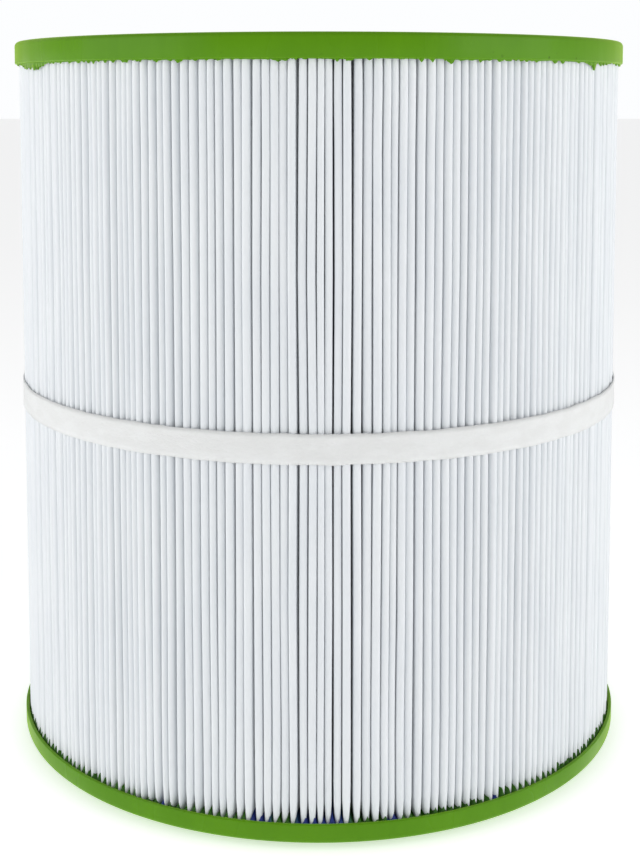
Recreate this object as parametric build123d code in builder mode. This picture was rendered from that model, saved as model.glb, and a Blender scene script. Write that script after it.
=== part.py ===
"""Pleated filter cartridge with two cast end caps, open at both ends.

Millimetres, +Z up. The axis of the cartridge is Z, and the origin is the centre of the face that the
cartridge stands on, which is the sealing lip of the bottom cap. The seam of the media faces +Y.
"""

import math
import os

from build123d import *

# ---- Driving sizes -------------------------------------------------------------------------------

# Overall
cap_diameter = 227.0  # outside of both end caps, the widest part
body_length = 255.6  # between the outer faces of the two caps, without the sealing lips

# End caps
bottom_rim_height = 6.5
top_rim_height = 8.0
rim_wall = 1.2
cap_floor = 2.5
bore_diameter = 101.6  # the open end that seats on the housing's port
collar_wall = 1.8  # round the bore, inside the core
lip_width = 8.2
lip_height = 2.0
face_relief_depth = 0.6
face_relief_margin = 6.0  # flat left beside the lip and beside the outer edge
outer_edge_radius = 1.6
lip_edge_radius = 1.4
bore_edge_radius = 0.8
rim_edge_radius = 0.4

# Potting compound in the channel of each cap
potting_recess = 1.0  # below the edge of the rim

# Core, in two sections
core_wall = 2.6
core_rib_height = 1.4
core_rib_width = 1.8
core_rows = 7  # rows of windows in each section
core_window_pairs = 10  # windows opposite each other in a row
core_window_width = 10.0
core_window_height = 10.8
core_end_band = 10.0  # plain wall at each end of a section
spigot_length = 6.0
spigot_wall = 1.2

# Pleated media
pleat_count = 246
sheet_thickness = 0.45
outer_fold_hollow = 0.575  # radius of the hollow side of a fold
inner_fold_hollow = 0.025
media_foot = 0.5  # from the floor of a cap's channel to the edge of the sheet

# Seam of the media
seam_depth = 26.0
seam_setback = 1.2  # the tip of the fold that is left off where the sheet's two ends meet

# Band round the pleats
band_width = 10.0
band_thickness = 0.55
band_lap = 28.0
band_height = 129.0  # to the middle of the band

# Clearances
core_clearance = 0.2  # core on the collar, spigot in its socket
media_clearance = 0.3  # media to the core's ribs and to the rim
band_clearance = 0.05
seam_clearance = 0.05
potting_clearance = 0.1

# ---- Sizes that follow ---------------------------------------------------------------------------

cap_radius = cap_diameter / 2
bore_radius = bore_diameter / 2
collar_radius = bore_radius + collar_wall
lip_radius = bore_radius + lip_width
channel_radius = cap_radius - rim_wall

overall_length = body_length + 2 * lip_height
bottom_floor_z = lip_height + cap_floor
top_floor_z = overall_length - lip_height - cap_floor
core_joint_z = (bottom_floor_z + top_floor_z) / 2

core_inner_radius = collar_radius + core_clearance
core_outer_radius = core_inner_radius + core_wall
core_rib_radius = core_outer_radius + core_rib_height
spigot_radius = core_inner_radius + spigot_wall

media_inner_radius = core_rib_radius + media_clearance
media_outer_radius = channel_radius - media_clearance
media_bottom_z = bottom_floor_z + media_foot
media_length = top_floor_z - media_foot - media_bottom_z
pleat_angle = 360 / pleat_count
outer_fold_radius = outer_fold_hollow + sheet_thickness / 2  # of the middle of the sheet
inner_fold_radius = inner_fold_hollow + sheet_thickness / 2
outer_fold_centre = media_outer_radius - sheet_thickness / 2 - outer_fold_radius
inner_fold_centre = media_inner_radius + sheet_thickness / 2 + inner_fold_radius

# The sections of revolved pieces are drawn in these two planes, from a cap's lip inwards
from_bottom = Plane.XZ
from_top = Plane(origin=(0, 0, overall_length), x_dir=(1, 0, 0), z_dir=(0, 1, 0))


# ---- End caps ------------------------------------------------------------------------------------


def corner_at(sketch, x, y):
    """The corner of a sketch that lies nearest to this point of the sketch's plane."""
    return sketch.vertices().sort_by_distance((x, y, 0))[0]


def make_cap(section_plane, rim_height):
    """An end cap: a disc with a bore, a sealing lip round the bore, and a channel for the media."""
    rim_z = lip_height + rim_height
    floor_z = lip_height + cap_floor
    relief_z = lip_height + face_relief_depth
    relief_inner = lip_radius + face_relief_margin
    relief_outer = cap_radius - face_relief_margin
    with BuildPart() as cap:
        with BuildSketch(section_plane) as section:
            with BuildLine():
                Polyline(
                    (bore_radius, 0),
                    (lip_radius, 0),
                    (lip_radius, lip_height),
                    (relief_inner, lip_height),
                    (relief_inner + face_relief_depth, relief_z),
                    (relief_outer - face_relief_depth, relief_z),
                    (relief_outer, lip_height),
                    (cap_radius, lip_height),
                    (cap_radius, rim_z),
                    (channel_radius, rim_z),
                    (channel_radius, floor_z),
                    (collar_radius, floor_z),
                    (collar_radius, rim_z),
                    (bore_radius, rim_z),
                    close=True,
                )
            make_face()
            fillet(corner_at(section, cap_radius, lip_height), outer_edge_radius)
            fillet(corner_at(section, cap_radius, rim_z), rim_edge_radius)
            fillet(corner_at(section, channel_radius, rim_z), rim_edge_radius)
            fillet(corner_at(section, lip_radius, 0), lip_edge_radius)
            fillet(corner_at(section, bore_radius, 0), bore_edge_radius)
        revolve(axis=Axis.Z)
    return cap.part


bottom_cap = make_cap(from_bottom, bottom_rim_height)
bottom_cap.label = "bottom_cap"
top_cap = make_cap(from_top, top_rim_height)
top_cap.label = "top_cap"


# ---- Potting compound ----------------------------------------------------------------------------


def make_potting(floor_plane, rim_height):
    """The bed of compound that holds the ends of the pleats in a cap's channel."""
    depth = rim_height - cap_floor - potting_recess
    with BuildPart() as potting:
        with BuildSketch(floor_plane):
            Circle(channel_radius - potting_clearance)
            Circle(core_rib_radius + potting_clearance, mode=Mode.SUBTRACT)
        extrude(amount=depth)
    return potting.part


bottom_potting = make_potting(Plane.XY.offset(bottom_floor_z), bottom_rim_height)
bottom_potting.label = "bottom_potting"
top_potting = make_potting(Plane((0, 0, top_floor_z), z_dir=(0, 0, -1)), top_rim_height)
top_potting.label = "top_potting"


# ---- Core ----------------------------------------------------------------------------------------

section_length = core_joint_z - bottom_floor_z
row_pitch = (section_length - 2 * core_end_band) / core_rows
socket_radius = spigot_radius + core_clearance / 2
socket_top_z = core_joint_z + spigot_length + core_clearance

lower_profile = [
    (core_inner_radius, bottom_floor_z),
    (core_outer_radius, bottom_floor_z),
    (core_outer_radius, core_joint_z),
    (spigot_radius, core_joint_z),
    (spigot_radius, core_joint_z + spigot_length),
    (core_inner_radius, core_joint_z + spigot_length),
]
upper_profile = [
    (socket_radius, core_joint_z),
    (core_outer_radius, core_joint_z),
    (core_outer_radius, top_floor_z),
    (core_inner_radius, top_floor_z),
    (core_inner_radius, socket_top_z),
    (socket_radius, socket_top_z),
]


def make_core_section(profile, first_z):
    """A tube with rings for the inner folds to rest on and rows of windows between the rings."""
    with BuildPart() as core:
        with BuildSketch(from_bottom):
            with BuildLine():
                Polyline(profile, close=True)
            make_face()
        revolve(axis=Axis.Z)
        for row in range(core_rows + 1):
            rib_z = first_z + core_end_band + row * row_pitch
            with BuildSketch(Plane.XY.offset(rib_z - core_rib_width / 2)):
                Circle(core_rib_radius)
                Circle(core_outer_radius - core_wall / 4, mode=Mode.SUBTRACT)
            extrude(amount=core_rib_width)
        for pair in range(core_window_pairs):
            turn = math.radians(pair * 180 / core_window_pairs)
            side = Plane(
                origin=(0, 0, first_z + section_length / 2),
                x_dir=(math.cos(turn), math.sin(turn), 0),
                z_dir=(math.sin(turn), -math.cos(turn), 0),
            )
            with BuildSketch(side):
                with GridLocations(0, row_pitch, 1, core_rows):
                    Rectangle(core_window_width, core_window_height)
            extrude(amount=cap_radius, both=True, mode=Mode.SUBTRACT)
    return core.part


core_lower = make_core_section(lower_profile, bottom_floor_z)
core_lower.label = "core_lower"
core_upper = make_core_section(upper_profile, core_joint_z)
core_upper.label = "core_upper"


# ---- Pleated media -------------------------------------------------------------------------------


def on_circle(radius, angle):
    """A point at this radius and this angle, in degrees."""
    return Vector(radius * math.cos(math.radians(angle)), radius * math.sin(math.radians(angle)))


def flank(inner_centre, inner_radius, outer_centre, outer_radius, side):
    """The ends of the straight flank that runs from an inner fold to an outer fold."""
    along = outer_centre - inner_centre
    across = Vector(-along.Y, along.X) * (side / along.length)
    lean = (inner_radius + outer_radius) / along.length
    normal = along / along.length * lean + across * math.sqrt(1 - lean**2)
    return inner_centre + normal * inner_radius, outer_centre - normal * outer_radius


def make_skin(offset):
    """The closed outline of one face of the sheet, this far outside the middle of the sheet."""
    outer_radius = outer_fold_radius + offset
    inner_radius = inner_fold_radius - offset
    tip = on_circle(outer_fold_centre, 0)
    root_before = on_circle(inner_fold_centre, -pleat_angle / 2)
    root_after = on_circle(inner_fold_centre, pleat_angle / 2)
    rise_start, rise_end = flank(root_before, inner_radius, tip, outer_radius, 1)
    fall_end, fall_start = flank(root_after, inner_radius, tip, outer_radius, -1)
    next_start = rise_start.rotate(Axis.Z, pleat_angle)
    with BuildLine() as pleat:
        Line(rise_start, rise_end)
        ThreePointArc(rise_end, on_circle(outer_fold_centre + outer_radius, 0), fall_start)
        Line(fall_start, fall_end)
        ThreePointArc(fall_end, on_circle(inner_fold_centre - inner_radius, pleat_angle / 2), next_start)
    with BuildLine() as skin:
        with PolarLocations(0, pleat_count):
            add(pleat.line)
    return skin.line


outer_skin = make_skin(sheet_thickness / 2)
inner_skin = make_skin(-sheet_thickness / 2)

# One fold has its axis on +Y, and the sheet's two ends meet there
seam_turn = 90 % pleat_angle

with BuildPart() as pleated_media:
    with BuildSketch(Plane.XY.offset(media_bottom_z).rotated((0, 0, seam_turn))) as sheet_section:
        make_face(outer_skin.edges())
        make_face(inner_skin.edges(), mode=Mode.SUBTRACT)
        with Locations(on_circle(media_outer_radius, 90 - seam_turn)):
            Rectangle(
                2 * seam_setback,
                2 * (outer_fold_radius + sheet_thickness),
                rotation=90 - seam_turn,
                mode=Mode.SUBTRACT,
            )
    extrude(amount=media_length)
pleated_media.part.label = "pleated_media"


# ---- Seam strip ----------------------------------------------------------------------------------


def gap_inside_fold(radius):
    """Half of the gap between the two flanks of one fold, at this distance from the axis."""
    root_spacing = inner_fold_centre * math.sin(math.radians(pleat_angle / 2))
    root_gap = root_spacing - inner_fold_hollow - sheet_thickness
    share = (outer_fold_centre - radius) / (outer_fold_centre - inner_fold_centre)
    return outer_fold_hollow + (root_gap - outer_fold_hollow) * share


seam_outer = media_outer_radius - 2 * seam_setback
seam_inner = seam_outer - seam_depth

with BuildPart() as seam_strip:
    with BuildSketch(Plane.XY.offset(media_bottom_z)):
        with BuildLine():
            Polyline(
                (gap_inside_fold(seam_outer) - seam_clearance, seam_outer),
                (gap_inside_fold(seam_inner) - seam_clearance, seam_inner),
                (seam_clearance - gap_inside_fold(seam_inner), seam_inner),
                (seam_clearance - gap_inside_fold(seam_outer), seam_outer),
                close=True,
            )
        make_face()
    extrude(amount=media_length)
seam_strip.part.label = "seam_strip"


# ---- Band ----------------------------------------------------------------------------------------

band_inner_radius = media_outer_radius + band_clearance
band_outer_radius = band_inner_radius + band_thickness
lap_angle = math.degrees(band_lap / band_outer_radius)

with BuildPart() as wrap_band:
    with BuildSketch(Plane.XY.offset(band_height - band_width / 2)):
        Circle(band_outer_radius)
        Circle(band_inner_radius, mode=Mode.SUBTRACT)
    extrude(amount=band_width)
    with BuildSketch(Plane.XY.offset(band_height - band_width / 2)):
        with BuildLine():
            lap_outside = CenterArc((0, 0), band_outer_radius + band_thickness, 90, lap_angle)
            lap_inside = CenterArc((0, 0), band_inner_radius + band_thickness / 2, 90, lap_angle)
            Line(lap_inside @ 0, lap_outside @ 0)
            Line(lap_inside @ 1, lap_outside @ 1)
        make_face()
    extrude(amount=band_width)
wrap_band.part.label = "wrap_band"


# ---- Files ---------------------------------------------------------------------------------------

os.makedirs("parts", exist_ok=True)
pieces = [
    bottom_cap,
    top_cap,
    bottom_potting,
    top_potting,
    core_lower,
    core_upper,
    pleated_media.part,
    seam_strip.part,
    wrap_band.part,
]
for piece in pieces:
    export_step(piece, f"parts/{piece.label}.step")
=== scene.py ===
import logging
import math
import random
from dataclasses import dataclass
from enum import Enum
from typing import Iterable, Sequence

import bmesh
import bpy
from mathutils import Matrix, Vector, noise

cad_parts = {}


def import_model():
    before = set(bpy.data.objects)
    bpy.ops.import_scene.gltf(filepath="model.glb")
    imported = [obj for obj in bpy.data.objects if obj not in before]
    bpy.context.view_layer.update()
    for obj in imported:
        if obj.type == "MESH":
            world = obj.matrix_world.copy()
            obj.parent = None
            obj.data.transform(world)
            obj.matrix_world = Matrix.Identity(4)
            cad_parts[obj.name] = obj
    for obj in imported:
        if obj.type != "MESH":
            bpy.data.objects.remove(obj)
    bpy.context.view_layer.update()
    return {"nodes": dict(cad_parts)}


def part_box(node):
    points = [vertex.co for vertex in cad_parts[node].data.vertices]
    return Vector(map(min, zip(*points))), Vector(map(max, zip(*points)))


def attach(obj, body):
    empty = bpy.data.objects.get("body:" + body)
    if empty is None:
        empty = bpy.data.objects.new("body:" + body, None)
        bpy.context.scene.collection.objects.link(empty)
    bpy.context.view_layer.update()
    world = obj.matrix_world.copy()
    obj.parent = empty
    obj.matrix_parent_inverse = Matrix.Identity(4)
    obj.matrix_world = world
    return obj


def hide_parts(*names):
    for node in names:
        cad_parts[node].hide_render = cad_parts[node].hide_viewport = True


log = logging.getLogger("filter_cartridge")

MM = 0.001
ROOT = "root"
UP = Vector((0.0, 0.0, 1.0))
PLEATS = 246
SEAM_ANGLE = math.pi / 2
SAME_PLACE = 0.01 * MM


class End(Enum):
    """Which end of the cartridge a piece belongs to."""

    BOTTOM = "bottom"
    TOP = "top"


class Section(Enum):
    """Which of the two sections of the core a piece is."""

    LOWER = "lower"
    UPPER = "upper"


# ---- Mesh helpers --------------------------------------------------------------------


def polar(radius: float, angle: float, z: float = 0.0) -> Vector:
    """A point from its distance to the axis, its angle and its height.

    Args:
        radius: Distance from the Z axis.
        angle: Angle from +X, in radians.
        z: Height.

    Returns:
        The point.
    """
    return Vector((radius * math.cos(angle), radius * math.sin(angle), z))


def finish_mesh(
    bm: bmesh.types.BMesh, name: str, material: bpy.types.Material, sharp_deg: float = 40.0
) -> bpy.types.Object:
    """Turns a bmesh into a smooth-shaded object that rides on the cartridge.

    Args:
        bm: The finished bmesh, in metres. It is freed.
        name: Name of the piece.
        material: Finish of the piece.
        sharp_deg: Edges that turn by more than this stay sharp.

    Returns:
        The object.
    """
    mesh = bpy.data.meshes.new(name)
    bm.to_mesh(mesh)
    bm.free()
    mesh.materials.append(material)
    mesh.shade_smooth()
    mesh.set_sharp_from_angle(angle=math.radians(sharp_deg))
    piece = bpy.data.objects.new(name, mesh)
    bpy.context.scene.collection.objects.link(piece)
    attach(piece, ROOT)
    log.info("%s: %d faces", name, len(mesh.polygons))
    return piece


def thicken(piece: bpy.types.Object, thickness: float, offset: float) -> None:
    """Gives a piece's surface a wall and applies it to the mesh.

    Args:
        piece: The object, whose mesh is a surface without a wall.
        thickness: Thickness of the wall.
        offset: -1 to put the wall behind the surface, 0 to centre it there.
    """
    wall = piece.modifiers.new("wall", "SOLIDIFY")
    wall.thickness = thickness
    wall.offset = offset
    graph = bpy.context.evaluated_depsgraph_get()
    mesh = bpy.data.meshes.new_from_object(piece.evaluated_get(graph))
    old = piece.data
    piece.modifiers.clear()
    piece.data = mesh
    mesh.name = piece.name
    bpy.data.meshes.remove(old)


def draw_outline(
    bm: bmesh.types.BMesh, points: Sequence[tuple[float, float]], closed: bool
) -> list[bmesh.types.BMVert]:
    """Draws an outline of radius and height in the plane through the axis and +X.

    Args:
        bm: The bmesh to draw in.
        points: The corners, as radius and height.
        closed: Whether the last corner joins the first.

    Returns:
        The vertices, in order.
    """
    verts = [bm.verts.new((radius, 0.0, z)) for radius, z in points]
    for first, second in zip(verts, verts[1:]):
        bm.edges.new((first, second))
    if closed:
        bm.edges.new((verts[-1], verts[0]))
    return verts


def round_corners(
    bm: bmesh.types.BMesh, corners: Iterable[bmesh.types.BMVert], radius: float, segments: int
) -> None:
    """Rounds corners of an outline.

    Args:
        bm: The bmesh.
        corners: The corners to round.
        radius: How far from the corner the rounding starts.
        segments: Edges in each rounded corner.
    """
    bmesh.ops.bevel(
        bm,
        geom=list(corners),
        offset=radius,
        offset_type="OFFSET",
        segments=segments,
        profile=0.5,
        affect="VERTICES",
        material=-1,
    )


def spin_round(bm: bmesh.types.BMesh, steps: int) -> None:
    """Spins everything in a bmesh once round the axis and closes it.

    Args:
        bm: The bmesh, holding an outline.
        steps: Number of steps of the full turn.
    """
    bmesh.ops.spin(
        bm,
        geom=bm.verts[:] + bm.edges[:],
        cent=(0.0, 0.0, 0.0),
        axis=UP,
        dvec=(0.0, 0.0, 0.0),
        angle=2.0 * math.pi,
        steps=steps,
        use_merge=True,
        use_duplicate=False,
    )
    bmesh.ops.remove_doubles(bm, verts=bm.verts[:], dist=1e-7)
    bmesh.ops.recalc_face_normals(bm, faces=bm.faces[:])


def extrude_edges(
    bm: bmesh.types.BMesh, edges: list[bmesh.types.BMEdge]
) -> tuple[list[bmesh.types.BMVert], list[bmesh.types.BMEdge]]:
    """Extrudes a row of edges where it stands.

    Args:
        bm: The bmesh.
        edges: The edges of the row.

    Returns:
        The vertices and the edges of the new row.
    """
    made = bmesh.ops.extrude_edge_only(bm, edges=edges)["geom"]
    fresh = [item for item in made if isinstance(item, bmesh.types.BMVert)]
    known = set(fresh)
    row = [
        item
        for item in made
        if isinstance(item, bmesh.types.BMEdge) and all(vert in known for vert in item.verts)
    ]
    return fresh, row


def move_into(bm: bmesh.types.BMesh, other: bmesh.types.BMesh) -> None:
    """Adds everything in one bmesh to another.

    Args:
        bm: The bmesh to add to.
        other: The bmesh to add. It is freed.
    """
    mesh = bpy.data.meshes.new("part")
    other.to_mesh(mesh)
    other.free()
    bm.from_mesh(mesh)
    bpy.data.meshes.remove(mesh)


def ease(t: float) -> float:
    """A smooth step from 0 to 1, held at both ends."""
    t = min(max(t, 0.0), 1.0)
    return t * t * (3.0 - 2.0 * t)


# ---- Node helpers --------------------------------------------------------------------


class Shading:
    """Adds nodes to one node tree and joins them."""

    def __init__(self, tree: bpy.types.NodeTree) -> None:
        """Keeps the tree.

        Args:
            tree: The node tree to add to.
        """
        self.tree = tree

    def add(self, kind: str, inputs: dict | None = None, **settings: object) -> bpy.types.Node:
        """Adds a node.

        Args:
            kind: Node type, such as ShaderNodeTexNoise.
            inputs: Value or socket for each input, by its name or its number.
            settings: Settings of the node itself.

        Returns:
            The node.
        """
        node = self.tree.nodes.new(kind)
        for name, value in settings.items():
            setattr(node, name, value)
        for name, value in (inputs or {}).items():
            if isinstance(value, bpy.types.NodeSocket):
                self.tree.links.new(value, node.inputs[name])
            else:
                node.inputs[name].default_value = value
        return node

    def math(
        self, operation: str, first: object, second: object = 0.0, third: object = 0.0
    ) -> bpy.types.NodeSocket:
        """Adds a Math node.

        Args:
            operation: Name of the operation.
            first: First value or socket.
            second: Second value or socket.
            third: Third value or socket.

        Returns:
            The result's socket.
        """
        node = self.add("ShaderNodeMath", {0: first, 1: second, 2: third}, operation=operation)
        return node.outputs[0]

    def between(
        self, value: object, low: float, high: float, to_low: float, to_high: float
    ) -> bpy.types.NodeSocket:
        """Maps a value smoothly from one range to another and holds it there.

        Args:
            value: The socket to map.
            low: Start of its range.
            high: End of its range.
            to_low: Result at the start.
            to_high: Result at the end.

        Returns:
            The result's socket.
        """
        ends = {"From Min": low, "From Max": high, "To Min": to_low, "To Max": to_high}
        inputs = {"Value": value, **ends}
        node = self.add("ShaderNodeMapRange", inputs, interpolation_type="SMOOTHSTEP")
        return node.outputs["Result"]

    def mix(self, share: object, first: object, second: object) -> bpy.types.NodeSocket:
        """Mixes two colours.

        Args:
            share: Share of the second colour.
            first: First colour or socket.
            second: Second colour or socket.

        Returns:
            The mixed colour's socket.
        """
        node = self.tree.nodes.new("ShaderNodeMix")
        node.data_type = "RGBA"
        factor = [s for s in node.inputs if s.type == "VALUE"][0]
        colors = [s for s in node.inputs if s.type == "RGBA"]
        for socket, value in zip((factor, *colors), (share, first, second)):
            if isinstance(value, bpy.types.NodeSocket):
                self.tree.links.new(value, socket)
            else:
                socket.default_value = value
        return [s for s in node.outputs if s.type == "RGBA"][0]


def grain_group() -> bpy.types.NodeTree:
    """Builds the shader group that gives fibres, streaks or cast grain.

    Returns:
        The group, with a stretch for each axis, a mask of fine grain and a mask of broad patches.
    """
    tree = bpy.data.node_groups.new("surface_grain", "ShaderNodeTree")
    face = tree.interface
    face.new_socket("Stretch", in_out="INPUT", socket_type="NodeSocketVector")
    face.new_socket("Fine Scale", in_out="INPUT", socket_type="NodeSocketFloat")
    face.new_socket("Broad Scale", in_out="INPUT", socket_type="NodeSocketFloat")
    face.new_socket("Fine", in_out="OUTPUT", socket_type="NodeSocketFloat")
    face.new_socket("Broad", in_out="OUTPUT", socket_type="NodeSocketFloat")
    shading = Shading(tree)
    given = shading.add("NodeGroupInput")
    result = shading.add("NodeGroupOutput")
    place = shading.add("ShaderNodeTexCoord").outputs["Object"]
    factors = {0: place, 1: given.outputs["Stretch"]}
    stretched = shading.add("ShaderNodeVectorMath", factors, operation="MULTIPLY").outputs[0]
    scales = given.outputs["Fine Scale"], given.outputs["Broad Scale"]
    fine = {"Vector": stretched, "Scale": scales[0], "Detail": 5.0, "Roughness": 0.62}
    broad = {"Vector": stretched, "Scale": scales[1], "Detail": 2.0}
    fine_noise = shading.add("ShaderNodeTexNoise", fine).outputs["Fac"]
    broad_noise = shading.add("ShaderNodeTexNoise", broad).outputs["Fac"]
    tree.links.new(shading.between(fine_noise, 0.3, 0.7, 0.0, 1.0), result.inputs["Fine"])
    tree.links.new(shading.between(broad_noise, 0.35, 0.65, 0.0, 1.0), result.inputs["Broad"])
    return tree


@dataclass(frozen=True)
class Finish:
    """What a surface looks like: its colours, its gloss and its grain.

    The grain's stretch is larger across the direction in which fibres or streaks run.
    """

    name: str
    base: tuple[float, float, float]
    patch: tuple[float, float, float]
    patch_share: float = 0.5
    roughness: float = 0.5
    roughness_spread: float = 0.08
    specular: float = 0.5
    sheen: float = 0.0
    sheen_roughness: float = 0.35
    sheen_tint: tuple[float, float, float] = (1.0, 1.0, 1.0)
    stretch: tuple[float, float, float] = (1.0, 1.0, 1.0)
    fine_scale: float = 900.0
    broad_scale: float = 60.0
    bump_depth: float = 0.00005
    bump_strength: float = 0.3
    # Blue laid over the colour where the mesh's attribute of this name is set.
    blue_patch: tuple[float, float, float] | None = None
    pit_heights: tuple[float, float] | None = None

    def make(self, grain: bpy.types.NodeTree) -> bpy.types.Material:
        """Builds the material.

        Args:
            grain: The shared grain group.

        Returns:
            The material.
        """
        material = bpy.data.materials.new(self.name)
        material.use_nodes = True
        shading = Shading(material.node_tree)
        surface = material.node_tree.nodes["Principled BSDF"]
        texture = shading.add("ShaderNodeGroup", node_tree=grain)
        texture.inputs["Stretch"].default_value = self.stretch
        texture.inputs["Fine Scale"].default_value = self.fine_scale
        texture.inputs["Broad Scale"].default_value = self.broad_scale
        fine, broad = texture.outputs["Fine"], texture.outputs["Broad"]
        share = shading.math("MULTIPLY", broad, self.patch_share)
        share = shading.math("MULTIPLY_ADD", fine, self.patch_share / 2.0, share)
        color = shading.mix(share, (*self.base, 1.0), (*self.patch, 1.0))
        height = fine
        if self.blue_patch is not None:
            # Blue patches, where the mesh's attribute asks for them.
            blue_patch = shading.add("ShaderNodeAttribute", attribute_name="blue_patch").outputs["Fac"]
            color = shading.mix(blue_patch, color, (*self.blue_patch, 1.0))
        if self.pit_heights is not None:
            pits = self.pits(shading)
            shadow = (*(part * 0.3 for part in self.base), 1.0)
            color = shading.mix(shading.math("MULTIPLY", pits, 0.75), color, shadow)
            height = shading.math("MULTIPLY_ADD", pits, -4.0, fine)
        low = self.roughness - self.roughness_spread
        high = self.roughness + self.roughness_spread
        gloss = shading.between(broad, 0.0, 1.0, low, high)
        bump = shading.add("ShaderNodeBump", {"Height": height})
        bump.inputs["Strength"].default_value = self.bump_strength
        bump.inputs["Distance"].default_value = self.bump_depth
        material.node_tree.links.new(color, surface.inputs["Base Color"])
        material.node_tree.links.new(gloss, surface.inputs["Roughness"])
        material.node_tree.links.new(bump.outputs["Normal"], surface.inputs["Normal"])
        surface.inputs["Specular IOR Level"].default_value = self.specular
        surface.inputs["Sheen Weight"].default_value = self.sheen
        surface.inputs["Sheen Roughness"].default_value = self.sheen_roughness
        surface.inputs["Sheen Tint"].default_value = (*self.sheen_tint, 1.0)
        return material

    def pits(self, shading: Shading) -> bpy.types.NodeSocket:
        """Adds the mask of small pits and bubbles between two heights.

        Args:
            shading: The material's tree helper.

        Returns:
            The mask's socket, 1 in a pit.
        """
        low, high = self.pit_heights
        place = shading.add("ShaderNodeTexCoord").outputs["Object"]
        spots = {"Vector": place, "Scale": 330.0, "Randomness": 1.0}
        distance = shading.add("ShaderNodeTexVoronoi", spots).outputs["Distance"]
        spot = shading.between(distance, 0.1, 0.24, 1.0, 0.0)
        clusters = {"Vector": place, "Scale": 70.0, "Detail": 2.0}
        cluster = shading.add("ShaderNodeTexNoise", clusters).outputs["Fac"]
        sparse = shading.between(cluster, 0.5, 0.62, 0.0, 1.0)
        z = shading.add("ShaderNodeSeparateXYZ", {0: place}).outputs["Z"]
        near = shading.between(z, low, high, 1.0, 0.0)
        return shading.math("MULTIPLY", shading.math("MULTIPLY", spot, sparse), near)


class Finishes:
    """Every finish on the cartridge, made once."""

    def __init__(self) -> None:
        """Makes the materials."""
        grain = grain_group()
        lime, olive = (0.105, 0.292, 0.003), (0.083, 0.245, 0.002)
        cast = dict(
            roughness=0.34,
            specular=0.16,
            sheen=0.9,
            sheen_tint=(0.62, 1.0, 0.08),
            stretch=(1.0, 1.0, 0.25),
            fine_scale=260.0,
            broad_scale=38.0,
        )
        pitted = dict(pit_heights=(0.2505, 0.2525))
        self.top_cap = Finish("cast_urethane_top", lime, olive, **pitted, **cast).make(grain)
        self.bottom_cap = Finish("cast_urethane_bottom", lime, olive, **cast).make(grain)
        self.potting = Finish(
            "potting_compound",
            (0.035, 0.15, 0.002),
            (0.02, 0.10, 0.001),
            roughness=0.36,
            specular=0.3,
            # Blue of the patches at the front of the bottom bed.
            blue_patch=(0.012, 0.03, 0.22),
        ).make(grain)
        self.media = Finish(
            "spun_bonded_sheet",
            (0.865, 0.89, 0.91),
            (0.81, 0.84, 0.87),
            roughness=0.9,
            specular=0.25,
            sheen=0.15,
            stretch=(1.0, 1.0, 0.22),
            fine_scale=1500.0,
            broad_scale=120.0,
            bump_depth=0.00006,
            bump_strength=0.35,
        ).make(grain)
        self.band = Finish(
            "non_woven_tape",
            (0.85, 0.86, 0.855),
            (0.79, 0.795, 0.785),
            roughness=0.85,
            specular=0.3,
            sheen=0.15,
            stretch=(1.0, 1.0, 2.2),
            fine_scale=700.0,
            broad_scale=110.0,
            bump_depth=0.00012,
            bump_strength=0.5,
        ).make(grain)
        self.core = Finish(
            "moulded_core",
            (0.80, 0.81, 0.80),
            (0.74, 0.75, 0.74),
            roughness=0.45,
            fine_scale=1200.0,
        ).make(grain)
        self.adhesive = Finish(
            "set_adhesive",
            (0.72, 0.70, 0.58),
            (0.62, 0.60, 0.46),
            roughness=0.3,
            broad_scale=200.0,
        ).make(grain)


# ---- End caps ------------------------------------------------------------------------


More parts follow.
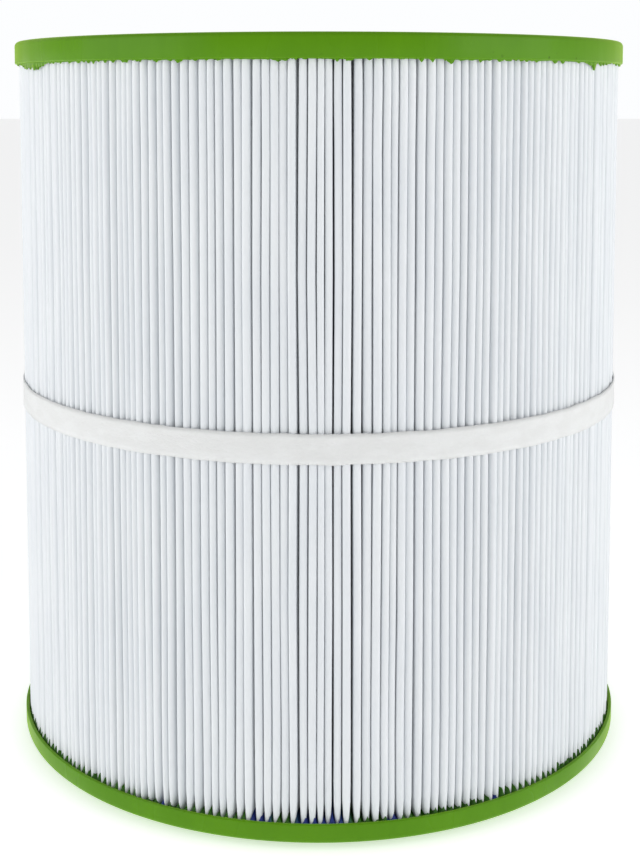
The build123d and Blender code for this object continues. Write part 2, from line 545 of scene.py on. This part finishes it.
@dataclass
class EndCap:
    """A cast end cap: a tray with a rim, a bore with a collar, and a sealing lip."""

    end: End
    rim_wall: float = 1.2 * MM
    floor: float = 2.5 * MM
    bore_radius: float = 50.8 * MM
    collar_wall: float = 1.8 * MM
    lip_width: float = 8.2 * MM
    lip_height: float = 2.0 * MM
    relief_depth: float = 0.6 * MM
    relief_margin: float = 6.0 * MM
    rim_rounding: float = 1.6 * MM
    lip_rounding: float = 1.4 * MM
    bore_rounding: float = 0.8 * MM
    edge_rounding: float = 0.38 * MM
    steps: int = 288

    @property
    def node(self) -> str:
        """Name of the CAD node that this piece stands for."""
        return f"{self.end.value}_cap"

    def outline(self) -> list[tuple[float, float]]:
        """Gives the cap's section.

        Returns:
            Its corners, as radius and depth from the lip's face.
        """
        low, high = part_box(self.node)
        outer, depth = high.x, high.z - low.z
        lip = self.bore_radius + self.lip_width
        channel, collar = outer - self.rim_wall, self.bore_radius + self.collar_wall
        floor, relief = self.lip_height + self.floor, self.relief_depth
        inner_edge, outer_edge = lip + self.relief_margin, outer - self.relief_margin
        return [
            (self.bore_radius, 0.0),
            (lip, 0.0),
            (lip, self.lip_height),
            (inner_edge, self.lip_height),
            (inner_edge + relief, self.lip_height + relief),
            (outer_edge - relief, self.lip_height + relief),
            (outer_edge, self.lip_height),
            (outer, self.lip_height),
            (outer, depth),
            (channel, depth),
            (channel, floor),
            (collar, floor),
            (collar, depth),
            (self.bore_radius, depth),
        ]

    def build(self, material: bpy.types.Material) -> bpy.types.Object:
        """Builds the cap.

        Args:
            material: The cast urethane.

        Returns:
            The piece.
        """
        bm = bmesh.new()
        corners = draw_outline(bm, self.outline(), closed=True)
        bore_edge, lip_edge, rim_foot = corners[0], corners[1], corners[7]
        rim_edges = corners[8:10]
        round_corners(bm, [rim_foot], self.rim_rounding, 5)
        round_corners(bm, [lip_edge], self.lip_rounding, 4)
        round_corners(bm, [bore_edge], self.bore_rounding, 3)
        round_corners(bm, rim_edges, self.edge_rounding, 3)
        if self.end is End.TOP:
            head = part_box(self.node)[1].z
            bmesh.ops.scale(bm, vec=(1.0, 1.0, -1.0), verts=bm.verts[:])
            bmesh.ops.translate(bm, vec=(0.0, 0.0, head), verts=bm.verts[:])
        spin_round(bm, self.steps)
        piece = finish_mesh(bm, f"{self.end.value}_end_cap", material)
        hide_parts(self.node)
        return piece


@dataclass
class CastingFlash:
    """The ragged hem of urethane that ran down over the pleats under the top cap's rim.

    Each drip has its angle from the front and its half width, in degrees, and its depth in
    millimetres.
    """

    steps: int = PLEATS * 7
    setback: float = 0.75 * MM
    thickness: float = 0.5 * MM
    tuck: float = 0.5 * MM
    run: float = 0.35 * MM
    tooth: float = 0.75 * MM
    least_drop: float = 0.02 * MM
    drips: tuple[tuple[float, float, float], ...] = (
        (-61.0, 8.5, 2.0),
        (55.0, 2.4, 1.4),
        (-33.0, 0.9, 0.9),
        (21.0, 0.8, 0.8),
        (142.0, 4.0, 1.4),
    )

    def drop(self, angle: float, rng: random.Random) -> float:
        """How far the hem hangs below the rim at one place.

        Args:
            angle: Angle from +X, in radians.
            rng: The hem's own seeded generator.

        Returns:
            The drop, in metres.
        """
        place = polar(1.0, angle)
        slow = noise.noise(place * 9.0)
        fast = noise.noise(place * 70.0)
        drop = self.run * (0.7 + 0.9 * slow) + self.tooth * max(0.0, fast - 0.08) * 2.2
        if rng.random() < 0.07:
            drop += self.tooth * rng.random()
        front = math.degrees(angle) + 90.0
        for middle, half_width, depth in self.drips:
            away = abs((front - middle + 180.0) % 360.0 - 180.0)
            drop += depth * MM * ease(1.4 * (1.0 - away / half_width)) * (0.8 + 0.4 * fast)
        return max(drop, self.least_drop)

    def build(self, material: bpy.types.Material) -> bpy.types.Object:
        """Builds the hem as a thin ring whose lower edge is uneven.

        Args:
            material: The cast urethane.

        Returns:
            The piece.
        """
        rng = random.Random(11)
        low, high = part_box("top_cap")
        rim_z, outer = low.z, high.x - self.setback
        bm = bmesh.new()
        heights = (rim_z + self.tuck, rim_z, rim_z - self.run)
        draw_outline(bm, [(outer, z) for z in heights], closed=False)
        spin_round(bm, self.steps)
        for vert in bm.verts:
            if vert.co.z < rim_z - self.run / 2.0:
                angle = math.atan2(vert.co.y, vert.co.x)
                vert.co.z = rim_z - self.drop(angle, rng)
        piece = finish_mesh(bm, "top_cap_flash", material, sharp_deg=60.0)
        thicken(piece, self.thickness, offset=-1.0)
        return piece


# ---- Potting -------------------------------------------------------------------------


@dataclass
class PottingBed:
    """The compound in a cap's channel, which creeps up between the pleats.

    Each blue patch has its angle from the front and its half width, in degrees.
    """

    end: End
    inner_radius: float = 57.0 * MM
    edge_width: float = 0.7 * MM
    creep: float = 3.4 * MM
    creep_depth: float = 16.0 * MM
    samples: int = 8
    rings: int = 6
    blue_patch_runs: tuple[tuple[float, float], ...] = (
        (-9.7, 2.4),
        (0.4, 5.6),
        (12.4, 1.4),
        (31.0, 0.8),
        (-27.0, 0.6),
    )

    @property
    def node(self) -> str:
        """Name of the CAD node that this piece stands for."""
        return f"{self.end.value}_potting"

    def rise(self, radius: float, outer: float, angle: float) -> float:
        """How high the compound creeps at one place.

        Args:
            radius: Distance from the axis.
            outer: Outer radius of the bed.
            angle: Angle from +X, in radians.

        Returns:
            The height over the bed's flat face, in metres.
        """
        pleat = (angle - SEAM_ANGLE) / (2.0 * math.pi) * PLEATS
        from_tip = abs((pleat + 0.5) % 1.0 - 0.5) * 2.0
        inward = (outer - radius) / self.creep_depth
        bank = math.sin(math.pi * min(max(inward, 0.0), 1.0) ** 0.45)
        uneven = 0.8 + 0.5 * noise.noise(polar(40.0, angle))
        return self.creep * from_tip**1.6 * bank * uneven

    def build(self, material: bpy.types.Material, blue_patched: bool) -> bpy.types.Object:
        """Builds the bed.

        Args:
            material: The potting compound.
            blue_patched: Whether blue patches are laid into the colour of the front of the bed.

        Returns:
            The piece.
        """
        low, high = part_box(self.node)
        bottom = self.end is End.BOTTOM
        floor_z, face_z = (low.z, high.z) if bottom else (high.z, low.z)
        up = 1.0 if bottom else -1.0
        outer, inner = high.x, self.inner_radius
        inward = [self.creep_depth * (i / self.rings) ** 1.5 for i in range(2, self.rings + 1)]
        radii = [outer, outer - self.edge_width] + [outer - depth for depth in inward]
        bm = bmesh.new()
        face = [(radius, face_z) for radius in radii + [inner]]
        draw_outline(bm, [(inner, floor_z), (outer, floor_z)] + face, closed=True)
        spin_round(bm, PLEATS * self.samples)
        # Share of blue at each point of the bed's face, for the patches at the front.
        layer = bm.verts.layers.float.new("blue_patch")
        for vert in bm.verts:
            if abs(vert.co.z - face_z) > SAME_PLACE:
                continue
            radius, angle = vert.co.to_2d().length, math.atan2(vert.co.y, vert.co.x)
            vert.co.z = face_z + up * self.rise(radius, outer, angle)
            if blue_patched:
                vert[layer] = self.blue_patch(math.degrees(angle) + 90.0)
        piece = finish_mesh(bm, f"{self.end.value}_potting_bed", material, sharp_deg=60.0)
        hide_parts(self.node)
        return piece

    def blue_patch(self, front: float) -> float:
        """How much blue is laid into the compound's colour at one place.

        Args:
            front: Angle from the front, in degrees.

        Returns:
            The share of blue, from 0 to 1.
        """
        shares = (2.0 * (1.0 - abs(front - middle) / half) for middle, half in self.blue_patch_runs)
        return max(ease(share) for share in shares)


# ---- Media ---------------------------------------------------------------------------


@dataclass
class PleatedMedia:
    """The filter sheet, folded into pleats that differ a little, as a folding machine leaves them.

    Inside the held radius the pleats stay neat, and over the loosening distance beyond it they
    come to move freely. A pleat is narrower at its foot and its head, where the compound holds it.
    """

    inner_radius: float = 57.1 * MM
    thickness: float = 0.45 * MM
    outer_fold: float = 1.06 * MM
    inner_fold: float = 0.25 * MM
    tip_segments: int = 6
    wave: float = 0.5 * MM
    wave_length: float = 75.0 * MM
    flutter: float = 0.09 * MM
    flutter_length: float = 38.0 * MM
    breathing: float = 0.06
    breath_length: float = 70.0 * MM
    width_spread: float = 0.17
    sink: float = 0.7 * MM
    least_gap: float = 0.12
    held_radius: float = 80.0 * MM
    loosening: float = 26.0 * MM
    stiff_end: float = 26.0 * MM
    stiff_share: float = 0.35
    foot_start: float = 1.5 * MM
    foot_height: float = 10.0 * MM
    foot_width: float = 0.5
    head_height: float = 12.0 * MM
    head_width: float = 0.86
    row_heights: tuple[float, ...] = (0.0, 3.0, 5.6, 9.5, 16.0, 34.0, 72.0)

    def outline(self, inner: float, outer: float) -> list[Vector]:
        """Draws one pleat about +X, from the middle of one inner fold to the middle of the next.

        Args:
            inner: Inner radius of the whole pack.
            outer: Outer radius of the whole pack.

        Returns:
            The points of the middle of the sheet.
        """
        half = math.pi / PLEATS
        tip = Vector((outer - self.thickness / 2.0 - self.outer_fold, 0.0, 0.0))
        root = polar(inner + self.thickness / 2.0 + self.inner_fold, half)
        along = tip - root
        across = Vector((along.y, -along.x, 0.0)) / along.length
        lean = (self.inner_fold + self.outer_fold) / along.length
        normal = along / along.length * lean + across * math.sqrt(1.0 - lean**2)
        root_end = root + normal * self.inner_fold
        tip_end = tip - normal * self.outer_fold
        turn = math.atan2(tip_end.y, tip_end.x - tip.x)
        arc = [
            tip + polar(self.outer_fold, turn * (1.0 - 2.0 * i / self.tip_segments))
            for i in range(self.tip_segments + 1)
        ]
        upper = [polar(root.length - self.inner_fold, half), root_end, root_end.lerp(tip_end, 0.6)]
        lower = [Vector((p.x, -p.y, 0.0)) for p in reversed(upper)]
        return upper + arc + lower

    def rows(self, low: float, high: float) -> list[float]:
        """Gives the heights of the rows of points, close together near both ends."""
        below = [low + height * MM for height in self.row_heights]
        return below + [(low + high) / 2.0] + [low + high - z for z in reversed(below)]

    def shape(
        self, point: Vector, low: float, high: float, tables: dict[str, list[float]]
    ) -> Vector:
        """Moves one point of the neat pack to where it is in the real one.

        Args:
            point: The point.
            low: Foot of the pack.
            high: Head of the pack.
            tables: One value for each pleat, by what it changes.

        Returns:
            The moved point.
        """
        step = 2.0 * math.pi / PLEATS
        radius, angle = point.to_2d().length, math.atan2(point.y, point.x)
        pleat = round((angle - SEAM_ANGLE) / step)
        index = pleat % PLEATS
        loose = ease((radius - self.held_radius) / self.loosening)
        if loose == 0.0:
            return point
        from_foot, from_head = point.z - low, high - point.z
        away = ease(min(from_foot, from_head) / self.stiff_end)
        freedom = self.stiff_share + (1.0 - self.stiff_share) * away
        swing = noise.noise(Vector((index * 0.31, point.z / self.wave_length, 1.0)))
        ripple = noise.noise(Vector((index * 3.7, point.z / self.flutter_length, 7.0)))
        breath = noise.noise(Vector((index * 5.3, point.z / self.breath_length, 4.0)))
        shift = tables["shift"][index] + (self.wave * swing + self.flutter * ripple) * freedom
        foot_open = ease((from_foot - self.foot_start) / self.foot_height) ** 0.7
        foot_pinch = self.foot_width + (1.0 - self.foot_width) * foot_open
        head_pinch = self.head_width + (1.0 - self.head_width) * ease(from_head / self.head_height)
        width = (tables["width"][index] + self.breathing * breath) * foot_pinch * head_pinch
        side = radius * (angle - SEAM_ANGLE - pleat * step)
        side = side * (1.0 + (width - 1.0) * loose) + shift * loose
        radius -= self.sink * (tables["sink"][index] + 0.35 * (1.0 - foot_pinch)) * loose
        return polar(radius, SEAM_ANGLE + pleat * step + side / radius, point.z)

    def build(self, material: bpy.types.Material) -> bpy.types.Object:
        """Builds the media.

        Args:
            material: The filter sheet's finish.

        Returns:
            The piece.
        """
        low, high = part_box("pleated_media")
        bm = bmesh.new()
        section = self.fold(bm, low.z, high.x)
        heights = self.rows(low.z, high.z)
        for below, above in zip(heights, heights[1:]):
            fresh, section = extrude_edges(bm, section)
            bmesh.ops.translate(bm, verts=fresh, vec=(0.0, 0.0, above - below))
        tables = self.tables()
        for vert in bm.verts:
            vert.co = self.shape(vert.co, low.z, high.z, tables)
        bmesh.ops.recalc_face_normals(bm, faces=bm.faces[:])
        piece = finish_mesh(bm, "filter_media", material, sharp_deg=80.0)
        thicken(piece, self.thickness, offset=0.0)
        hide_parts("pleated_media")
        return piece

    def fold(self, bm: bmesh.types.BMesh, foot: float, outer: float) -> list[bmesh.types.BMEdge]:
        """Draws the foot of the whole folded sheet, from one end at the seam to the other.

        Args:
            bm: The bmesh to draw in.
            foot: Height of the pack's foot.
            outer: Outer radius of the pack.

        Returns:
            The edges of the foot.
        """
        verts = [bm.verts.new(point) for point in self.outline(self.inner_radius, outer)]
        edges = [bm.edges.new(pair) for pair in zip(verts, verts[1:])]
        turn = Matrix.Rotation(SEAM_ANGLE, 3, "Z")
        bmesh.ops.rotate(bm, verts=verts, cent=(0.0, 0.0, 0.0), matrix=turn)
        bmesh.ops.translate(bm, verts=verts, vec=(0.0, 0.0, foot))
        bmesh.ops.spin(
            bm,
            geom=verts + edges,
            cent=(0.0, 0.0, 0.0),
            axis=UP,
            dvec=(0.0, 0.0, 0.0),
            angle=2.0 * math.pi * (PLEATS - 1) / PLEATS,
            steps=PLEATS - 1,
            use_merge=False,
            use_duplicate=True,
        )
        bmesh.ops.remove_doubles(bm, verts=bm.verts[:], dist=SAME_PLACE)
        self.open_seam(bm, outer)
        return bm.edges[:]

    def tables(self) -> dict[str, list[float]]:
        """Draws each pleat's own width, its shift round the pack and how far it has sunk.

        The tips keep their order: uneven gaps between them are shared out over the whole turn.

        Returns:
            One value for each pleat, by what it changes.
        """
        rng = random.Random(246)
        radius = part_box("pleated_media")[1].x
        pitch = 2.0 * math.pi * radius / PLEATS
        widths = [1.0 + self.width_spread * rng.uniform(-1.0, 0.55) for _ in range(PLEATS)]
        half_tips = [(self.outer_fold + self.thickness / 2.0) * width for width in widths]
        wishes = [self.least_gap + rng.random() ** 1.6 for _ in range(PLEATS)]
        spare = (pitch * PLEATS - 2.0 * sum(half_tips)) / sum(wishes)
        shifts, place = [], 0.0
        for index in range(PLEATS):
            shifts.append(place - pitch * index)
            place += half_tips[index] + half_tips[(index + 1) % PLEATS] + spare * wishes[index]
        sinks = [rng.random() ** 2 for _ in range(PLEATS)]
        return {"width": widths, "shift": shifts, "sink": sinks}

    def open_seam(self, bm: bmesh.types.BMesh, outer: float) -> None:
        """Cuts the tip off the fold at the seam, so that the sheet's two ends lie side by side.

        Args:
            bm: The bmesh, holding the whole outline.
            outer: Outer radius of the pack.
        """
        near = polar(outer, SEAM_ANGLE).to_2d()
        reach = self.outer_fold * 1.02
        tips = [vert for vert in bm.verts if (vert.co.to_2d() - near).length < reach]
        bmesh.ops.delete(bm, geom=tips, context="VERTS")


# ---- Core ----------------------------------------------------------------------------


@dataclass
class CoreSection:
    """One moulded section of the core: a wall of rounded windows between two plain end bands."""

    section: Section
    inner_radius: float = 52.8 * MM
    outer_radius: float = 55.4 * MM
    rib_radius: float = 56.8 * MM
    rib_width: float = 1.8 * MM
    spigot_radius: float = 54.0 * MM
    spigot_length: float = 6.0 * MM
    end_band: float = 10.0 * MM
    columns: int = 20
    window_rows: int = 7
    window: tuple[float, float] = (10.0 * MM, 10.8 * MM)
    corner: float = 2.2 * MM
    rib_root: float = 0.6 * MM
    ring_rounding: float = 0.3 * MM
    ring_steps: int = 120

    @property
    def node(self) -> str:
        """Name of the CAD node that this piece stands for."""
        return f"core_{self.section.value}"

    def window_loop(self, grow: float) -> list[tuple[float, float]]:
        """Sixteen points round a window, from its middle, with rounded corners.

        Args:
            grow: How far outside the window the points lie.

        Returns:
            The points, as distance round the core and height.
        """
        half_w, half_h = self.window[0] / 2.0 + grow, self.window[1] / 2.0 + grow
        radius = self.corner + grow
        points = []
        for quarter in range(4):
            turn = quarter * math.pi / 2.0
            sign_w = 1.0 if quarter in (0, 3) else -1.0
            sign_h = 1.0 if quarter in (0, 1) else -1.0
            middle = (sign_w * (half_w - radius), sign_h * (half_h - radius))
            for i in range(3):
                angle = turn + i * math.pi / 4.0
                x, y = radius * math.cos(angle), radius * math.sin(angle)
                points.append((middle[0] + x, middle[1] + y))
            halfway = ((0.0, half_h), (-half_w, 0.0), (0.0, -half_h), (half_w, 0.0))
            points.append(halfway[quarter])
        return points

    def cell_loop(self, width: float, height: float) -> list[tuple[float, float]]:
        """Sixteen points round a cell, in step with those of its window.

        Args:
            width: Width of the cell round the core.
            height: Height of the cell.

        Returns:
            The points, as distance round the core and height.
        """
        w, h = width / 2.0, height / 2.0
        quarter = [(w, h / 2.0), (w, h), (w / 2.0, h), (0.0, h)]
        return (
            quarter
            + [(-x, y) for x, y in ((w / 2.0, h), (w, h), (w, h / 2.0), (w, 0.0))]
            + [(-x, -y) for x, y in quarter]
            + [(x, -y) for x, y in ((w / 2.0, h), (w, h), (w, h / 2.0), (w, 0.0))]
        )

    def build(self, material: bpy.types.Material) -> bpy.types.Object:
        """Builds the section.

        Args:
            material: The moulded plastic.

        Returns:
            The piece.
        """
        low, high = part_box(self.node)
        top = high.z - (self.spigot_length if self.section is Section.LOWER else 0.0)
        row = (top - low.z - 2.0 * self.end_band) / self.window_rows
        bm = bmesh.new()
        self.add_windows(bm, low.z + self.end_band, row)
        for number in range(self.window_rows + 1):
            rib_z = low.z + self.end_band + number * row
            root = self.outer_radius - self.rib_root
            self.add_ring(bm, root, self.rib_radius, rib_z, self.rib_width)
        band = self.end_band
        self.add_ring(bm, self.inner_radius, self.outer_radius, low.z + band / 2.0, band)
        self.add_ring(bm, self.inner_radius, self.outer_radius, top - band / 2.0, band)
        if self.section is Section.LOWER:
            spigot_z = top + self.spigot_length / 2.0
            length = self.spigot_length
            self.add_ring(bm, self.inner_radius, self.spigot_radius, spigot_z, length)
        piece = finish_mesh(bm, f"core_section_{self.section.value}", material, sharp_deg=35.0)
        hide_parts(self.node)
        return piece

    def add_windows(self, bm: bmesh.types.BMesh, start: float, row: float) -> None:
        """Adds the wall of windows.

        Args:
            bm: The bmesh to add to.
            start: Height of the foot of the first row.
            row: Height of each row.
        """
        width = 2.0 * math.pi * self.outer_radius / self.columns
        wall = bmesh.new()
        loops = [self.cell_loop(width, row), self.window_loop(0.0)]
        edges = []
        for loop in loops:
            verts = [wall.verts.new((x, 0.0, z)) for x, z in loop]
            edges += [wall.edges.new(pair) for pair in zip(verts, verts[1:] + verts[:1])]
        bmesh.ops.bridge_loops(wall, edges=edges)
        cell = wall.verts[:] + wall.edges[:] + wall.faces[:]
        for column in range(self.columns):
            for number in range(self.window_rows):
                if column or number:
                    copied = bmesh.ops.duplicate(wall, geom=cell)["geom"]
                    verts = [item for item in copied if isinstance(item, bmesh.types.BMVert)]
                    place = (column * width, 0.0, number * row)
                    bmesh.ops.translate(wall, verts=verts, vec=place)
        self.roll(wall, start + row / 2.0)
        move_into(bm, wall)

    def roll(self, wall: bmesh.types.BMesh, middle: float) -> None:
        """Rolls a flat wall round the core and gives it its thickness.

        Args:
            wall: The flat wall, along +X and +Z.
            middle: Height at which its origin ends up.
        """
        outer, inner = self.outer_radius, self.inner_radius
        for vert in wall.verts:
            vert.co = polar(outer, vert.co.x / outer, middle + vert.co.z)
        bmesh.ops.remove_doubles(wall, verts=wall.verts[:], dist=2.0 * SAME_PLACE)
        bmesh.ops.recalc_face_normals(wall, faces=wall.faces[:])
        bmesh.ops.solidify(wall, geom=wall.faces[:], thickness=outer - inner)
        for vert in wall.verts:
            radius = outer if abs(vert.co.to_2d().length - outer) < (outer - inner) / 4.0 else inner
            vert.co = polar(radius, math.atan2(vert.co.y, vert.co.x), vert.co.z)
        bmesh.ops.recalc_face_normals(wall, faces=wall.faces[:])

    def add_ring(
        self, bm: bmesh.types.BMesh, inner: float, outer: float, middle: float, height: float
    ) -> None:
        """Adds a closed ring with eased edges.

        Args:
            bm: The bmesh to add to.
            inner: Inner radius.
            outer: Outer radius.
            middle: Height of its middle.
            height: How high it is.
        """
        ring = bmesh.new()
        low, high = middle - height / 2.0, middle + height / 2.0
        section = [(inner, low), (outer, low), (outer, high), (inner, high)]
        corners = draw_outline(ring, section, closed=True)
        round_corners(ring, corners[1:3], self.ring_rounding, 2)
        spin_round(ring, self.ring_steps)
        move_into(bm, ring)


# ---- Band ----------------------------------------------------------------------------


@dataclass
class WrapBand:
    """The non-woven tape round the pleats, whose end laps over its start at the seam."""

    thickness: float = 0.42 * MM
    clearance: float = 0.08 * MM
    lap: float = 28.0 * MM
    lap_gap: float = 0.06 * MM
    pleat_dip: float = 0.05 * MM
    steps: int = PLEATS * 2
    across: int = 6
    edge_wander: float = 0.28 * MM
    edge_trim: float = 0.15 * MM

    def build(self, material: bpy.types.Material) -> bpy.types.Object:
        """Builds the tape from its lapped end round to its start.

        Args:
            material: The tape's finish.

        Returns:
            The piece.
        """
        low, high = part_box("wrap_band")
        width = high.z - low.z
        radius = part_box("pleated_media")[1].x + self.clearance + self.thickness / 2.0
        lap_angle = self.lap / radius
        step = (2.0 * math.pi + lap_angle) / self.steps
        start = SEAM_ANGLE - lap_angle / 2.0
        bm = bmesh.new()
        heights = [low.z + width * i / self.across for i in range(self.across + 1)]
        verts = [bm.verts.new(polar(radius, start, z)) for z in heights]
        edges = [bm.edges.new(pair) for pair in zip(verts, verts[1:])]
        for number in range(1, self.steps + 1):
            fresh, edges = extrude_edges(bm, edges)
            angle = start + number * step
            left = (self.steps - number) * step
            lift = (self.thickness + self.lap_gap) * ease(1.6 - 1.5 * left / lap_angle)
            dip = self.pleat_dip * math.cos(PLEATS * (angle - SEAM_ANGLE))
            for vert in fresh:
                vert.co = polar(radius + lift + dip, angle, vert.co.z)
        self.roughen(bm, low.z, high.z)
        bmesh.ops.recalc_face_normals(bm, faces=bm.faces[:])
        piece = finish_mesh(bm, "pleat_band", material, sharp_deg=60.0)
        thicken(piece, self.thickness, offset=0.0)
        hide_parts("wrap_band")
        return piece

    def roughen(self, bm: bmesh.types.BMesh, low: float, high: float) -> None:
        """Lets the tape's cut edges wander.

        Args:
            bm: The bmesh.
            low: Foot of the tape.
            high: Head of the tape.
        """
        for vert in bm.verts:
            height = (vert.co.z - low) / (high - low)
            edge = 2.0 * abs(height - 0.5)
            place = polar(1.0, math.atan2(vert.co.y, vert.co.x), 5.0 * round(height))
            wander = noise.noise(place * 14.0) + 0.5 * noise.noise(place * 60.0)
            trim = math.copysign(self.edge_trim, height - 0.5)
            vert.co.z += self.edge_wander * wander * edge**4 - trim * edge**4


# ---- Studio --------------------------------------------------------------------------


@dataclass
class Studio:
    """A plain pale floor, soft light from both sides, and the camera."""

    distance: float = 539.5 * MM
    eye_height: float = 238.4 * MM
    pitch_deg: float = 4.839
    lens: float = 58.534
    shift: tuple[float, float] = (0.0014, -0.2523)
    side_place: tuple[float, float, float] = (0.95, -0.42, 0.42)
    side_size: float = 0.8
    side_power: float = 3.7
    front_place: tuple[float, float, float] = (0.0, -1.6, 0.75)
    front_size: float = 0.9
    front_power: float = 0.2
    aim_height: float = 0.13
    floor_radius: float = 14.0
    floor_drop: float = 0.02 * MM
    sky: float = 0.4
    floor_glow: float = 0.52

    def build(self) -> None:
        """Adds the floor, the lights and the camera."""
        self.add_floor()
        x, y, z = self.side_place
        self.add_light("left_softbox", (-x, y, z), self.side_size, self.side_power)
        self.add_light("right_softbox", (x, y, z), self.side_size, self.side_power)
        self.add_light("front_fill", self.front_place, self.front_size, self.front_power)
        self.add_world()
        self.add_camera()

    def add_world(self) -> None:
        """Adds a soft sky, which the camera sees as plain white."""
        world = bpy.data.worlds.new("studio")
        world.use_nodes = True
        background = world.node_tree.nodes["Background"]
        background.inputs["Color"].default_value = (0.98, 0.99, 1.0, 1.0)
        shading = Shading(world.node_tree)
        seen = shading.add("ShaderNodeLightPath").outputs["Is Camera Ray"]
        strength = shading.between(seen, 0.0, 1.0, self.sky, 1.0)
        world.node_tree.links.new(strength, background.inputs["Strength"])
        bpy.context.scene.world = world
        bpy.context.scene.view_settings.view_transform = "Standard"

    def add_camera(self) -> None:
        """Adds the camera, in front of the cartridge and looking a little down."""
        data = bpy.data.cameras.new("camera")
        data.lens = self.lens
        data.shift_x, data.shift_y = self.shift
        camera = bpy.data.objects.new("camera", data)
        camera.location = (0.0, -self.distance, self.eye_height)
        camera.rotation_euler = (math.radians(90.0 - self.pitch_deg), 0.0, 0.0)
        bpy.context.scene.collection.objects.link(camera)
        bpy.context.scene.camera = camera

    def add_floor(self) -> None:
        """Adds the floor, just under the bottom cap."""
        bm = bmesh.new()
        bmesh.ops.create_circle(bm, cap_ends=True, segments=96, radius=self.floor_radius)
        bmesh.ops.translate(bm, verts=bm.verts[:], vec=(0.0, 0.0, -self.floor_drop))
        mesh = bpy.data.meshes.new("floor")
        bm.to_mesh(mesh)
        bm.free()
        floor = bpy.data.objects.new("floor", mesh)
        bpy.context.scene.collection.objects.link(floor)
        material = bpy.data.materials.new("pale_floor")
        material.use_nodes = True
        surface = material.node_tree.nodes["Principled BSDF"]
        surface.inputs["Base Color"].default_value = (0.92, 0.92, 0.92, 1.0)
        surface.inputs["Roughness"].default_value = 0.9
        surface.inputs["Emission Color"].default_value = (1.0, 1.0, 1.0, 1.0)
        surface.inputs["Emission Strength"].default_value = self.floor_glow
        mesh.materials.append(material)

    def add_light(
        self, name: str, place: tuple[float, float, float], size: float, power: float
    ) -> None:
        """Adds a square soft light that faces the cartridge.

        Args:
            name: Name of the light.
            place: Where it stands.
            size: Length of its sides.
            power: Its power, in watts.
        """
        data = bpy.data.lights.new(name, "AREA")
        data.size = size
        data.energy = power
        light = bpy.data.objects.new(name, data)
        light.location = place
        toward = Vector((0.0, 0.0, self.aim_height)) - Vector(place)
        light.rotation_euler = toward.to_track_quat("-Z", "Y").to_euler()
        bpy.context.scene.collection.objects.link(light)


def dress_node(frame: dict, node: str, material: bpy.types.Material) -> None:
    """Gives a carried-over CAD node its finish.

    Args:
        node: Name of the node.
        material: The finish.
    """
    mesh = frame["nodes"][node].data
    mesh.materials.clear()
    mesh.materials.append(material)
    log.info("%s: carried over", node)


def main() -> None:
    """Builds the cartridge round the frame, then the studio."""
    logging.basicConfig(level=logging.INFO, format="%(name)s %(message)s")
    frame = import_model()
    finishes = Finishes()
    EndCap(End.BOTTOM).build(finishes.bottom_cap)
    EndCap(End.TOP).build(finishes.top_cap)
    CastingFlash().build(finishes.top_cap)
    PottingBed(End.BOTTOM).build(finishes.potting, blue_patched=True)
    PottingBed(End.TOP, creep=1.6 * MM).build(finishes.potting, blue_patched=False)
    CoreSection(Section.LOWER).build(finishes.core)
    CoreSection(Section.UPPER).build(finishes.core)
    PleatedMedia().build(finishes.media)
    dress_node(frame, "seam_strip", finishes.adhesive)
    WrapBand().build(finishes.band)
    Studio().build()


if __name__ == "__main__":
    main()
